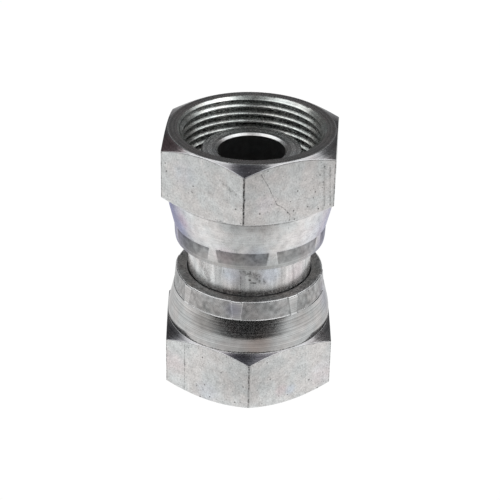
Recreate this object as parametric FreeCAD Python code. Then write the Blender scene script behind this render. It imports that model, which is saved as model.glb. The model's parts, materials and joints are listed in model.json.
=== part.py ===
import FreeCAD, Part

import math
import os

# A straight connector for hydraulic lines, with a swivel nut at each end.
#
# A through-bored spigot carries a sealing nose, with an O-ring, at both ends.
# Two hexagon nuts turn on it. The skirt of each nut is pressed in behind a
# bead on the spigot, so the nut turns freely but never comes off.
#
# The connector stands on the mouth of its lower nut, with +Z along its axis
# and its origin at the centre of that mouth. A nut is made with its mouth at
# the origin and its skirt towards +Z, so heights in a nut start at its mouth.

# Driving sizes, in millimetres and degrees

# Thread of a nut, kept as a plain hole of its inner diameter
THREAD_DIAMETER = 26.0
THREAD_PITCH = 1.5
THREAD_END_DEPTH = 11.8
COUNTERSINK_STANDOUT = 0.1
COUNTERSINK_ANGLE = 120.0
# An internal metric thread's inner diameter is smaller by this times its pitch
THREAD_DEPTH_FACTOR = 1.0825

# Hexagon of a nut
HEX_ACROSS_FLATS = 30.0
MOUTH_RING_INSET = 0.25
MOUTH_CHAMFER_ANGLE = 28.5
NECK_CHAMFER_ANGLE = 25.0

# Skirt of a nut, from the hexagon over a straight neck and a taper to its pressed-in end
NECK_LENGTH = 0.98
TAPER_LENGTH = 5.3
TAPER_BEND_RADIUS = 9.5
CRIMP_LENGTH = 3.5
THROAT_LENGTH = 4.25
NECK_WALL = 2.19
CRIMP_START_WALL = 2.48
SKIRT_END_WALL = 2.13
SKIRT_EDGE_CHAMFER = 0.15

# Marks that the jaws of a press leave on a skirt
JAW_COUNT = 8
JAW_MARK_DEPTH = 0.13
JAW_ANGLE_AT_START = 39.4
JAW_ANGLE_AT_END = 36.2
UPPER_UNMARKED_END = 0.8
LOWER_UNMARKED_END = 0.0

# Spigot, whose bead holds both its collar and its body inside the nuts
BEAD_OVER_THREAD = 0.3
BEAD_OVER_BODY = 1.31
BEAD_LENGTH = 2.43
BEAD_FRONT_ANGLE = 45.0
BEAD_BACK_ANGLE = 60.0
FLOW_BORE_DIAMETER = 12.0
BORE_CHAMFER = 0.4
NOSE_SHOULDER = 1.6
NOSE_CONE_ANGLE = 24.0
NOSE_EDGE_CHAMFER = 0.1
NOSE_TIP_DEPTH = 4.2

# O-ring in the cone of a nose
RING_CORD_DIAMETER = 2.0
RING_STANDOUT = 0.35
GROOVE_CENTRE_FROM_TIP = 3.6
GROOVE_WIDTH = 2.4

# Clearances between the nuts, the spigot and the O-rings
COLLAR_CLEARANCE = 0.2
BEAD_CLEARANCE = 0.15
BEAD_FRONT_CLEARANCE = 0.1
BEAD_BACK_CLEARANCE = 0.35
THROAT_CLEARANCE = 0.17
RING_CLEARANCE = 0.02

# Lie of the two nuts, with angles counted from the front towards +X
SKIRT_GAP = 6.6
UPPER_HEX_CORNER_ANGLE = -3.8
LOWER_HEX_CORNER_ANGLE = 1.2
UPPER_JAW_ANGLE = -5.4
LOWER_JAW_ANGLE = 13.7

# A tool that cuts past a surface reaches this much further
CUT_MARGIN = 1.0


def shift(distance, angle):
    """How far a line moves sideways over a distance, where it leaves that distance at an angle."""
    return distance * math.tan(math.radians(angle))


# Radii that follow

THREAD_RADIUS = (THREAD_DIAMETER - THREAD_DEPTH_FACTOR * THREAD_PITCH) / 2
COLLAR_RADIUS = THREAD_RADIUS - COLLAR_CLEARANCE
BEAD_RADIUS = THREAD_RADIUS + BEAD_OVER_THREAD
BODY_RADIUS = BEAD_RADIUS - BEAD_OVER_BODY
POCKET_RADIUS = BEAD_RADIUS + BEAD_CLEARANCE
THROAT_RADIUS = BODY_RADIUS + THROAT_CLEARANCE
NECK_RADIUS = POCKET_RADIUS + NECK_WALL
CRIMP_START_RADIUS = THROAT_RADIUS + CRIMP_START_WALL
SKIRT_END_RADIUS = THROAT_RADIUS + SKIRT_END_WALL

# Heights that follow, from the mouth of a nut

POCKET_FRONT = THREAD_END_DEPTH + shift(POCKET_RADIUS - THREAD_RADIUS, BEAD_FRONT_ANGLE)
COLLAR_FRONT = THREAD_END_DEPTH + BEAD_FRONT_CLEARANCE - shift(COLLAR_CLEARANCE, BEAD_FRONT_ANGLE)
BEAD_FRONT = COLLAR_FRONT + shift(BEAD_RADIUS - COLLAR_RADIUS, BEAD_FRONT_ANGLE)
BEAD_BACK = BEAD_FRONT + BEAD_LENGTH
BODY_START = BEAD_BACK + shift(BEAD_OVER_BODY, BEAD_BACK_ANGLE)
# the pocket's back lies beside the bead's back, a clearance further along the axis
POCKET_BACK = BEAD_BACK + BEAD_BACK_CLEARANCE - shift(BEAD_CLEARANCE, BEAD_BACK_ANGLE)
THROAT_START = POCKET_BACK + shift(POCKET_RADIUS - THROAT_RADIUS, BEAD_BACK_ANGLE)
NUT_LENGTH = THROAT_START + THROAT_LENGTH
CRIMP_START = NUT_LENGTH - CRIMP_LENGTH
TAPER_START = CRIMP_START - TAPER_LENGTH
HEX_HEIGHT = TAPER_START - NECK_LENGTH
TOTAL_HEIGHT = 2 * NUT_LENGTH + SKIRT_GAP

AXIS = FreeCAD.Vector(0, 0, 1)
CENTRE = FreeCAD.Vector(0, 0, 0)
# The direction that angles are counted from is -Y
FRONT_DIRECTION = -90.0


def turned(points):
    """A solid of revolution from (radius, height) points. A third entry marks the middle of an arc."""
    corners = [FreeCAD.Vector(point[0], 0, point[1]) for point in points]
    count = len(points)
    edges = []
    start = 0
    while start < count:
        following = (start + 1) % count
        if len(points[following]) == 3:
            end = (start + 2) % count
            edges.append(Part.Arc(corners[start], corners[following], corners[end]).toShape())
            start += 2
        else:
            edges.append(Part.LineSegment(corners[start], corners[following]).toShape())
            start += 1
    return Part.Face(Part.Wire(edges)).revolve(CENTRE, AXIS, 360)


def hexagonal_prism(corner_angle):
    """The hexagon before its corners are turned off."""
    corner_radius = HEX_ACROSS_FLATS / 2 / math.cos(math.radians(30.0))
    corners = []
    for k in range(7):
        turn = math.radians(FRONT_DIRECTION + corner_angle + 60.0 * k)
        corners.append(
            FreeCAD.Vector(corner_radius * math.cos(turn), corner_radius * math.sin(turn), 0)
        )
    return Part.Face(Part.makePolygon(corners)).extrude(AXIS * HEX_HEIGHT)


def chamfered_hexagon(corner_angle):
    """The wrench hexagon, its corners turned off by a cone at the mouth and one at the neck."""
    ring_radius = HEX_ACROSS_FLATS / 2 - MOUTH_RING_INSET
    outer_radius = HEX_ACROSS_FLATS
    mouth_cone = turned(
        [
            (0, 0),
            (ring_radius, 0),
            (outer_radius, shift(outer_radius - ring_radius, MOUTH_CHAMFER_ANGLE)),
            (outer_radius, HEX_HEIGHT + CUT_MARGIN),
            (0, HEX_HEIGHT + CUT_MARGIN),
        ]
    )
    # this cone reaches below the mouth, so that only its slope cuts the hexagon
    neck_cone = turned(
        [
            (0, -outer_radius),
            (outer_radius, -outer_radius),
            (outer_radius, HEX_HEIGHT - shift(outer_radius - NECK_RADIUS, NECK_CHAMFER_ANGLE)),
            (NECK_RADIUS, HEX_HEIGHT),
            (0, HEX_HEIGHT),
        ]
    )
    return hexagonal_prism(corner_angle).common(mouth_cone).common(neck_cone)


def skirt():
    """The round skirt: a straight neck, a taper that begins with a bend, and the pressed-in end.

    The bend is an arc that leaves the neck along the axis. It turns until it runs straight at the
    start of the pressed-in end, which is where the arc's tangent meets that point.
    """
    centre_radius = NECK_RADIUS - TAPER_BEND_RADIUS
    across = CRIMP_START_RADIUS - centre_radius
    reach = math.hypot(across, TAPER_LENGTH)
    bend_turn = math.atan2(TAPER_LENGTH, across) - math.acos(TAPER_BEND_RADIUS / reach)

    def on_bend(turn):
        """The (radius, height) of the bend where it has turned by an angle."""
        return (
            centre_radius + TAPER_BEND_RADIUS * math.cos(turn),
            TAPER_START + TAPER_BEND_RADIUS * math.sin(turn),
        )

    return turned(
        [
            (0, HEX_HEIGHT),
            (NECK_RADIUS, HEX_HEIGHT),
            on_bend(0),
            (*on_bend(bend_turn / 2), "arc"),
            on_bend(bend_turn),
            (CRIMP_START_RADIUS, CRIMP_START),
            (SKIRT_END_RADIUS, NUT_LENGTH - SKIRT_EDGE_CHAMFER),
            (SKIRT_END_RADIUS - SKIRT_EDGE_CHAMFER, NUT_LENGTH),
            (0, NUT_LENGTH),
        ]
    )


def jaw_section(height, opening_angle):
    """A flat isosceles triangle from the axis outwards, as wide as a jaw at one height."""
    reach = HEX_ACROSS_FLATS
    half_width = shift(reach, opening_angle / 2)
    return Part.makePolygon(
        [
            FreeCAD.Vector(0, 0, height),
            FreeCAD.Vector(reach, -half_width, height),
            FreeCAD.Vector(reach, half_width, height),
            FreeCAD.Vector(0, 0, height),
        ]
    )


def press_jaws(unmarked_end, jaw_angle):
    """The jaws of the press, each a wedge whose hollow face follows the skirt, a mark's depth in."""
    end = NUT_LENGTH - unmarked_end
    slope = (CRIMP_START_RADIUS - SKIRT_END_RADIUS) / CRIMP_LENGTH
    wedge = Part.makeLoft(
        [
            jaw_section(CRIMP_START, JAW_ANGLE_AT_START),
            jaw_section(end, JAW_ANGLE_AT_END),
        ],
        True,
        True,
    )
    hollow = turned(
        [
            (0, CRIMP_START - CUT_MARGIN),
            (CRIMP_START_RADIUS - JAW_MARK_DEPTH + slope * CUT_MARGIN, CRIMP_START - CUT_MARGIN),
            (SKIRT_END_RADIUS - JAW_MARK_DEPTH - slope * CUT_MARGIN, NUT_LENGTH + CUT_MARGIN),
            (0, NUT_LENGTH + CUT_MARGIN),
        ]
    )
    jaw = wedge.cut(hollow)
    jaws = []
    for k in range(JAW_COUNT):
        turn = FRONT_DIRECTION + jaw_angle + 360.0 / JAW_COUNT * k
        jaws.append(jaw.rotated(CENTRE, AXIS, turn))
    return Part.Compound(jaws)


def nut_cavity():
    """The inside of a nut: countersink, thread, pocket for the bead, and throat."""
    countersink_radius = THREAD_DIAMETER / 2 + COUNTERSINK_STANDOUT
    cone_angle = 90.0 - COUNTERSINK_ANGLE / 2
    wider_radius = countersink_radius + CUT_MARGIN
    return turned(
        [
            (0, -shift(CUT_MARGIN, cone_angle)),
            (wider_radius, -shift(CUT_MARGIN, cone_angle)),
            (THREAD_RADIUS, shift(countersink_radius - THREAD_RADIUS, cone_angle)),
            (THREAD_RADIUS, THREAD_END_DEPTH),
            (POCKET_RADIUS, POCKET_FRONT),
            (POCKET_RADIUS, POCKET_BACK),
            (THROAT_RADIUS, THROAT_START),
            (THROAT_RADIUS, NUT_LENGTH + CUT_MARGIN),
            (0, NUT_LENGTH + CUT_MARGIN),
        ]
    )


def swivel_nut(corner_angle, jaw_angle, unmarked_end):
    """One hexagon nut with its pressed skirt, mouth at the origin."""
    outside = chamfered_hexagon(corner_angle).fuse(skirt())
    pressed = outside.cut(press_jaws(unmarked_end, jaw_angle))
    return pressed.cut(nut_cavity())


def upside_down(shape):
    """The same shape at the upper end, turned over about X, which reverses its angles."""
    turned_over = shape.rotated(CENTRE, FreeCAD.Vector(1, 0, 0), 180)
    return turned_over.translated(AXIS * TOTAL_HEIGHT)


def cone_radius(from_tip):
    """The radius of the nose at a distance behind its tip."""
    before_collar = COLLAR_FRONT - NOSE_TIP_DEPTH - from_tip
    return COLLAR_RADIUS - NOSE_SHOULDER - shift(before_collar, NOSE_CONE_ANGLE / 2)


def groove_floor_radius():
    """The radius of the O-ring groove's floor, from how far the ring stands out of the cone."""
    return cone_radius(GROOVE_CENTRE_FROM_TIP) + RING_STANDOUT - RING_CORD_DIAMETER


def spigot_end_profile():
    """The (radius, height) points from the edge of the lower bore to the middle of the spigot."""
    groove_front = GROOVE_CENTRE_FROM_TIP - GROOVE_WIDTH / 2
    groove_back = GROOVE_CENTRE_FROM_TIP + GROOVE_WIDTH / 2
    floor_radius = groove_floor_radius()
    return [
        (FLOW_BORE_DIAMETER / 2 + BORE_CHAMFER, NOSE_TIP_DEPTH),
        (cone_radius(0) - NOSE_EDGE_CHAMFER, NOSE_TIP_DEPTH),
        (cone_radius(NOSE_EDGE_CHAMFER), NOSE_TIP_DEPTH + NOSE_EDGE_CHAMFER),
        (cone_radius(groove_front), NOSE_TIP_DEPTH + groove_front),
        (floor_radius, NOSE_TIP_DEPTH + groove_front),
        (floor_radius, NOSE_TIP_DEPTH + groove_back),
        (cone_radius(groove_back), NOSE_TIP_DEPTH + groove_back),
        (COLLAR_RADIUS - NOSE_SHOULDER, COLLAR_FRONT),
        (COLLAR_RADIUS, COLLAR_FRONT),
        (BEAD_RADIUS, BEAD_FRONT),
        (BEAD_RADIUS, BEAD_BACK),
        (BODY_RADIUS, BODY_START),
    ]


def spigot():
    """The turned spigot, the same at both ends, with its through bore."""
    lower = spigot_end_profile()
    upper = [(radius, TOTAL_HEIGHT - height) for radius, height in reversed(lower)]
    bore_radius = FLOW_BORE_DIAMETER / 2
    bore_end = NOSE_TIP_DEPTH + BORE_CHAMFER
    bore = [(bore_radius, TOTAL_HEIGHT - bore_end), (bore_radius, bore_end)]
    return turned(lower + upper + bore)


def o_ring():
    """The O-ring of the lower nose, round the floor of its groove."""
    cord_radius = RING_CORD_DIAMETER / 2
    ring_radius = groove_floor_radius() + RING_CLEARANCE + cord_radius
    height = NOSE_TIP_DEPTH + GROOVE_CENTRE_FROM_TIP
    return Part.makeTorus(ring_radius, cord_radius, AXIS * height, AXIS)


def save(name, shape):
    """Write one piece, which has to be a single sound solid."""
    if not shape.isValid() or len(shape.Solids) != 1:
        raise ValueError(f"{name} is not one valid solid")
    shape.Solids[0].exportStep(f"parts/{name}.step")
    print(f"{name}: {shape.Volume:.1f} mm3")


os.makedirs("parts", exist_ok=True)

save("spigot", spigot())
save("lower_nut", swivel_nut(LOWER_HEX_CORNER_ANGLE, LOWER_JAW_ANGLE, LOWER_UNMARKED_END))
save(
    "upper_nut",
    upside_down(swivel_nut(-UPPER_HEX_CORNER_ANGLE, -UPPER_JAW_ANGLE, UPPER_UNMARKED_END)),
)
save("lower_o_ring", o_ring())
save("upper_o_ring", upside_down(o_ring()))
print(f"nut {NUT_LENGTH:.3f}, hexagon {HEX_HEIGHT:.3f}, total height {TOTAL_HEIGHT:.3f} mm")
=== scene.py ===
"""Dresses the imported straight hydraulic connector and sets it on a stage.

The connector stands on the mouth of its lower nut with +Z along its axis, and angles round it are
counted from the front, which is -Y, towards +X. A nut is worked out with its mouth at height zero
and its skirt above, and the upper nut is the same form turned over.
"""

import json
import math
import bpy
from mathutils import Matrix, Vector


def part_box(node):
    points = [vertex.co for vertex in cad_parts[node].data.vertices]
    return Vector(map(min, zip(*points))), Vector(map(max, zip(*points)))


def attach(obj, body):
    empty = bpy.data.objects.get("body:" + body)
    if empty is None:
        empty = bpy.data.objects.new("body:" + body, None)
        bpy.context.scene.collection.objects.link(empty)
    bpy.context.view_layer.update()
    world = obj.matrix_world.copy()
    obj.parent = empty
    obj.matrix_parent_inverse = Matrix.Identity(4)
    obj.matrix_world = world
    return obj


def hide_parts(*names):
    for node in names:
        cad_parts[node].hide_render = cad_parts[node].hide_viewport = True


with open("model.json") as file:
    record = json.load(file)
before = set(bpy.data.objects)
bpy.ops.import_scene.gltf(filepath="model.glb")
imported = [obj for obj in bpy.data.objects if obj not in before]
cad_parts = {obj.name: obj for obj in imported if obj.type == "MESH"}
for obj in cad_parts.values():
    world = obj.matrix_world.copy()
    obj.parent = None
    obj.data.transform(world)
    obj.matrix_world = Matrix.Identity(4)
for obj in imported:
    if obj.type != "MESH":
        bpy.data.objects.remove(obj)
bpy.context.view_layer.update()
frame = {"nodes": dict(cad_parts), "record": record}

from types import SimpleNamespace

import bmesh
import bpy
import numpy as np
from bpy.props import FloatProperty, FloatVectorProperty, IntProperty, PointerProperty
from mathutils import Matrix, Vector

bl_info = {
    "name": "Straight hydraulic connector",
    "version": (1, 0, 0),
    "blender": (4, 5, 0),
    "location": "View3D > Sidebar > Connector",
    "description": "Nuts, spigot, O-rings, finishes and stage of a straight hydraulic connector",
    "category": "Mesh",
}

MM = 0.001
TAU = 2 * math.pi
# Points of one mesh that lie closer than this are the same point
WELD = 0.0004 * MM
# Sizes in millimetres and angles in degrees that more than one section needs. SIDE is the angle that
# one side of a hexagon covers, and each hexagon has a corner at its turn from the front.
ACROSS_FLATS = 30.0
BEAD_OVER_BODY = 1.31
SIDE = 60.0
UPPER_CORNER = -3.8
LOWER_CORNER = 1.2

# Fineness of the meshes. The columns' step is in degrees.
EASE_STEPS = (0.0, 0.25, 0.5, 0.75, 1.0)
# An ease and what holds a side straight take no more of the side than these shares
EASE_SHARE = 0.4
HOLD_SHARE = 0.45
# How much less of an edge an eased corner is where it ends
EDGE_FADE = 0.6
BEND_ROWS = 9
COLUMN_STEP = 1.5
# An even column keeps this far from a fine one, and columns closer than the second are one
CLEAR_OF_FINE = 0.45
SAME_COLUMN = 0.04
SPIGOT_COLUMNS = 256
FLOOR_RINGS = 30
FLOOR_COLUMNS = 96
# Fineness of the sheet of painted shade
SHADE_SHEET_RINGS = 12
SHADE_SHEET_COLUMNS = 49


def length(name, description, millimetres):
    """A length whose default is given in millimetres."""
    return FloatProperty(
        name=name, description=description, default=millimetres * MM, unit="LENGTH", precision=4
    )


def angle(name, description, degrees):
    """An angle whose default is given in degrees."""
    return FloatProperty(
        name=name, description=description, default=math.radians(degrees), subtype="ANGLE"
    )


def number(name, description, value):
    """A plain number."""
    return FloatProperty(name=name, description=description, default=value, precision=3)


def colour(name, description, value):
    """A colour, in linear light."""
    return FloatVectorProperty(
        name=name, description=description, default=value, subtype="COLOR", size=3, min=0, max=1
    )


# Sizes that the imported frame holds


MOUNTS = {mount["name"]: mount for mount in frame["record"]["mounts"]}
NUT_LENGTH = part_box("lower_nut")[1].z
TOTAL_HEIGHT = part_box("upper_nut")[1].z
NOSE_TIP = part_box("spigot")[0].z
BEAD_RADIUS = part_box("spigot")[1].x
THREAD_CREST = MOUNTS["lower_thread"]["dims"]["r_mm"] * MM
BORE_RADIUS = MOUNTS["flow_bore"]["dims"]["r_mm"] * MM


class NutSizes(bpy.types.PropertyGroup):
    """Driving sizes of both nuts."""

    thread_diameter: length("Thread diameter", "Diameter at the roots of the thread", 26.0)
    thread_pitch: length("Thread pitch", "Advance of the thread in one turn", 1.5)
    thread_end: length("Thread end", "Depth at which the thread has run out", 11.8)
    thread_shift: length("Thread shift", "How far the helix is moved down from the mouth", 0.3)
    countersink_standout: length("Countersink", "How far the countersink is wider than the roots", 0.1)
    countersink_angle: angle("Countersink angle", "Full angle of the countersink's cone", 120.0)
    across_flats: length("Across flats", "Width of the hexagon", ACROSS_FLATS)
    corner_fillet: length("Corner fillet", "Radius along the hexagon's six corners", 0.3)
    ring_inset: length("Ring inset", "Distance from the flats to the flat ring of the mouth", 0.25)
    mouth_chamfer: angle("Mouth chamfer", "Slope of the corners that are turned off at the mouth", 28.5)
    neck_chamfer: angle("Neck chamfer", "Slope of the corners that are turned off at the neck", 25.0)
    neck_length: length("Neck length", "Straight part of the skirt", 0.98)
    taper_length: length("Taper length", "Part of the skirt that narrows, from the neck to the crimp", 5.3)
    bend_radius: length("Bend radius", "Radius of the bend from the neck into the taper", 9.5)
    crimp_length: length("Crimp length", "Pressed-in end of the skirt", 3.5)
    throat_length: length("Throat length", "Narrow hole at the skirt's end", 4.25)
    neck_wall: length("Neck wall", "Wall of the skirt's straight part", 2.19)
    crimp_wall: length("Crimp wall", "Wall where the pressed-in end starts", 2.48)
    end_wall: length("End wall", "Wall at the skirt's end", 2.13)
    end_chamfer: length("End chamfer", "Chamfer round the skirt's end", 0.15)
    throat_over_bead: length("Throat under bead", "How far the throat is narrower than the bead", 1.14)
    pocket_over_bead: length("Pocket over bead", "How far the pocket is wider than the bead", 0.15)
    pocket_slope: angle("Pocket slope", "Slope of the pocket's back, as the bead's", 60.0)
    jaw_count: IntProperty(name="Jaws", description="Marks round the skirt", default=8, min=3)
    jaw_depth: length("Mark depth", "Depth of a jaw's mark", 0.13)
    jaw_start_angle: angle("Mark start", "Angle that a mark covers where it starts", 39.4)
    jaw_end_angle: angle("Mark end", "Angle that a mark covers at the skirt's end", 36.2)
    edge: length("Edge", "How far a turned edge is eased", 0.1)
    ledge: length("Ledge", "Length of the step down into a mark", 0.12)
    runout: length("Run-out", "Length over which a mark's colour fades out on the upper nut", 0.25)


class NutLie(bpy.types.PropertyGroup):
    """How the two nuts lie, and how far their marks reach."""

    upper_corner: angle("Upper corner", "Angle of a corner of the upper hexagon", UPPER_CORNER)
    lower_corner: angle("Lower corner", "Angle of a corner of the lower hexagon", LOWER_CORNER)
    upper_jaw: angle("Upper mark", "Angle of the middle of a mark on the upper nut", -5.4)
    lower_jaw: angle("Lower mark", "Angle of the middle of a mark on the lower nut", 13.7)
    upper_unmarked: length("Upper unmarked end", "Band beyond the marks on the upper nut", 0.8)
    lower_unmarked: length("Lower unmarked end", "Band beyond the marks on the lower nut", 0.0)


class SpigotSizes(bpy.types.PropertyGroup):
    """Driving sizes of the turned spigot."""

    collar_clearance: length("Collar clearance", "Gap between the collar and the thread", 0.2)
    bead_under: length("Bead over body", "How far the bead stands over the body", BEAD_OVER_BODY)
    bead_length: length("Bead length", "Straight part of the bead", 2.43)
    bead_front: length("Bead front", "Height of the bead's front edge above the nut's mouth", 12.2)
    front_slope: angle("Front slope", "Slope of the bead towards the collar", 45.0)
    back_slope: angle("Back slope", "Slope of the bead towards the body", 60.0)
    shoulder: length("Shoulder", "Step from the collar down to the cone", 1.6)
    cone_angle: angle("Cone angle", "Full angle of the nose", 24.0)
    nose_chamfer: length("Nose chamfer", "Chamfer round the nose's flat tip", 0.1)
    bore_chamfer: length("Bore chamfer", "Chamfer of the bore", 0.4)
    groove_centre: length("Groove centre", "Distance from the tip to the O-ring groove", 3.6)
    groove_width: length("Groove width", "Width of the O-ring groove", 2.4)
    ring_cord: length("O-ring cord", "Thickness of the O-ring", 2.0)
    ring_standout: length("O-ring standout", "How far the O-ring stands out of the cone", 0.35)
    edge: length("Edge", "How far a turned edge is eased", 0.06)


class FinishColours(bpy.types.PropertyGroup):
    """Colours of the metal and the rubber."""

    zinc: colour("Zinc", "Bright zinc plating of the nuts", (0.63, 0.63, 0.618))
    upper_skirt: colour("Upper skirt", "Plating of the upper skirt", (0.68, 0.68, 0.668))
    lower_skirt: colour("Lower skirt", "Plating of the lower skirt", (0.48, 0.48, 0.472))
    ring: colour("Ring", "Plating over the turned mouth", (0.38, 0.37, 0.365))
    chamfer: colour("Chamfer", "Plating over the turned-off corners", (0.335, 0.33, 0.335))
    thread: colour("Thread", "Plating in the thread", (0.62, 0.645, 0.62))
    pressed: colour("Pressed zinc", "Plating squeezed by the jaws", (0.38, 0.38, 0.375))
    upper_pressed: colour("Upper pressed zinc", "Plating squeezed on the upper nut", (0.31, 0.31, 0.307))
    end: colour("Skirt's end", "Plating of the skirt's end face", (0.44, 0.43, 0.415))
    spigot: colour("Spigot", "Plating of the spigot", (0.60, 0.60, 0.592))
    nose: colour("Nose", "Plating of the spigot's noses", (0.63, 0.635, 0.63))
    bore: colour("Bore", "Plating in the bore", (0.32, 0.32, 0.32))
    cool: colour("Cool tint", "Tint of the plating towards blue", (0.965, 0.985, 1.0))
    warm: colour("Warm tint", "Tint of the plating towards pink", (1.0, 0.975, 0.975))
    # Bright metal along worn edges, which also paints the highlights along them
    worn: colour("Worn and highlighted edge", "Bright metal along worn edges", (0.86, 0.87, 0.88))
    # The dirt colour also paints the shade in the thread's roots and deep in the thread
    dirt: colour("Dirt", "Dirt in pits and scratches", (0.05, 0.045, 0.045))
    rubber: colour("Rubber", "Black rubber of the O-rings", (0.012, 0.012, 0.013))


class StageSettings(bpy.types.PropertyGroup):
    """Camera, floor and lights."""

    aim_across: length("Aim across", "How far right of the axis the camera aims", 0.082)
    aim_height: length("Aim height", "Height that the camera aims at", 24.229)
    distance: length("Camera distance", "From the camera to its aim", 294.69)
    elevation: angle("Camera elevation", "How far the camera looks down", 29.708)
    roll: angle("Camera roll", "Turn of the camera about its own line of sight", 1.2024)
    focal_length: number("Focal length", "Focal length in millimetres on a 36 mm sensor", 116.6)
    floor_glow: number("Floor glow", "Brightness of the white floor", 1.02)
    floor_radius: length("Floor radius", "Size of the floor", 3000.0)
    # The floor's painted shadow under the connector's mouth
    painted_shadow_radius: length("Painted shadow radius", "Where the floor under the connector's mouth is dark", 12.5)
    painted_shadow_fade: length("Painted shadow fade", "Width over which it lights up", 1.5)
    studio_front: colour("Studio front", "Dark of the studio behind the camera", (0.02, 0.02, 0.021))
    studio_back: colour("Studio back", "Dim light of the studio behind the connector", (0.15, 0.15, 0.152))
    backdrop: colour("Backdrop", "Colour of the studio as the camera sees it", (0.86, 0.86, 0.87))
    softbox: number("Softbox", "Brightness of the softboxes", 1.5)
    softbox_height: length("Softbox height", "Height of the softboxes over the floor", 800.0)
    # The sheet of painted shade on the floor in front, seen only in reflections
    shade_start: length("Shade start", "Distance in front where the floor's shade begins", 20.0)
    shade_near: number("Shade near", "Share of the floor's light that the shade takes close by", 0.35)
    shade_edge: length("Shade edge", "Distance in front where the floor ends in the dark", 84.0)
    shade_fade: length("Shade fade", "Width of the soft edge there", 12.0)


# Surfaces


def ring_points(radius, height, turn):
    """Points round the axis: x = radius sin(turn), y = -radius cos(turn), z = height."""
    radius, height, turn = np.broadcast_arrays(radius, height, turn)
    return np.stack([radius * np.sin(turn), -radius * np.cos(turn), height], axis=-1)


def turned_over(points):
    """A half turn about X, mouth up: (x, y, z) becomes (x, -y, total height - z)."""
    return np.stack([points[..., 0], -points[..., 1], TOTAL_HEIGHT - points[..., 2]], axis=-1)


def smooth_step(low, high, value):
    """0 below low, 1 above high, and 3t^2 - 2t^3 between."""
    t = np.clip((value - low) / (high - low), 0.0, 1.0)
    return t * t * (3 - 2 * t)


def along_side(corner, neighbour, ease, hold):
    """The point of a side where an eased corner leaves it, and one further on that holds it straight."""
    side = neighbour - corner
    side_length = np.linalg.norm(side, axis=-1, keepdims=True)
    reach = np.minimum(ease, EASE_SHARE * side_length)
    held = np.minimum(reach + hold, HOLD_SHARE * side_length)
    return corner + side / side_length * reach, corner + side / side_length * held


def softened(corners, eases, hold):
    """Rows along a section whose corners are eased.

    corners is an array of (corner, column, radius and height). Round a corner c with an ease e, the
    section follows the curve (1-t)^2 a + 2t(1-t) c + t^2 b, where a and b lie e before and after c.
    One more row beyond a and b holds the sides straight. Returns the rows, how much of an edge each
    row is, and for each strip between two rows the side of the section that it lies on.
    """
    rows = []
    for k, corner in enumerate(corners):
        if eases[k] == 0:
            rows.append((corner, 0.0, k))
            continue
        start, held_before = along_side(corner, corners[k - 1], eases[k], hold)
        end, held_after = along_side(corner, corners[k + 1], eases[k], hold)
        rows.append((held_before, 0.0, k - 1))
        for t in EASE_STEPS:
            point = (1 - t) ** 2 * start + 2 * t * (1 - t) * corner + t * t * end
            rows.append((point, 1.0 - abs(2 * t - 1) * EDGE_FADE, k - 1 if t < 0.5 else k))
        rows.append((held_after, 0.0, k))
    points, edges, sides = zip(*rows)
    return np.array(points), np.array(edges), np.array(sides[:-1])


def new_piece(name, points, slots, materials, attributes, closed):
    """A mesh piece from a grid of points.

    The quads join neighbouring rows and columns, and closed joins the last column to the first.
    slots holds the material's number for each strip between rows. Coincident points become one, which
    closes the seams, and the faces are then turned outwards.
    """
    rows, columns = points.shape[:2]
    index = np.arange(rows * columns).reshape(rows, columns)
    if closed:
        index = np.concatenate([index, index[:, :1]], axis=1)
    quads = np.stack([index[:-1, :-1], index[:-1, 1:], index[1:, 1:], index[1:, :-1]], axis=-1)
    mesh = bpy.data.meshes.new(name)
    mesh.from_pydata(points.reshape(-1, 3).tolist(), [], quads.reshape(-1, 4).tolist())
    mesh.polygons.foreach_set("material_index", np.repeat(slots, index.shape[1] - 1).astype(np.int32))
    mesh.polygons.foreach_set("use_smooth", np.ones(len(mesh.polygons), dtype=bool))
    for attribute, values in attributes.items():
        layer = mesh.attributes.new(attribute, "FLOAT", "POINT")
        layer.data.foreach_set("value", values.reshape(-1).astype(np.float32))
    for material in materials:
        mesh.materials.append(material)
    shape = bmesh.new()
    shape.from_mesh(mesh)
    bmesh.ops.remove_doubles(shape, verts=shape.verts, dist=WELD)
    bmesh.ops.recalc_face_normals(shape, faces=shape.faces)
    shape.to_mesh(mesh)
    shape.free()
    piece = bpy.data.objects.new(name, mesh)
    bpy.context.scene.collection.objects.link(piece)
    return piece


# Nuts


# Columns beside a corner and beside a mark's edge, in degrees from it, where plus is into the mark
BY_CORNER = (-1.1, -0.7, -0.5, -0.33, -0.16, 0, 0.16, 0.33, 0.5, 0.7, 1.1)
BY_MARK_EDGE = (-1.0, -0.55, -0.25, 0, 0.25, 0.55)
# A corner's grime ends and is full at these shares of its fillet's angle
CORNER_REACH = 1.6
CORNER_CORE = 0.5
# How far a mark's edge reaches out and in, in degrees
MARK_EDGE = (0.25, 0.55)
# Rows of the thread from a crest to the next root, in pitches, which lie closer at both
TO_ROOT = (0.0, 0.04, 0.07, 0.11, 0.17, 0.25, 0.34, 0.42, 0.47, 0.5)
# Pitches that the helix starts before the mouth, so that its first row lies wholly at the mouth
LEAD_IN = 2
# How much the thread's flanks are rounded, and the half widths of its crest and root in pitches
ROUNDED = 0.2
CREST_HALF = 0.05
ROOT_HALF = 0.03
# Painted shade in the thread's roots, where it begins and is full in their depth, and painted shade deep in
# the thread from some turns on
ROOT_SHADE = 0.55
ROOT_SHADE_EDGE = (0.35, 0.8)
DEEP_SHADE = 0.4
DEEP_TURNS = 3


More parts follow.
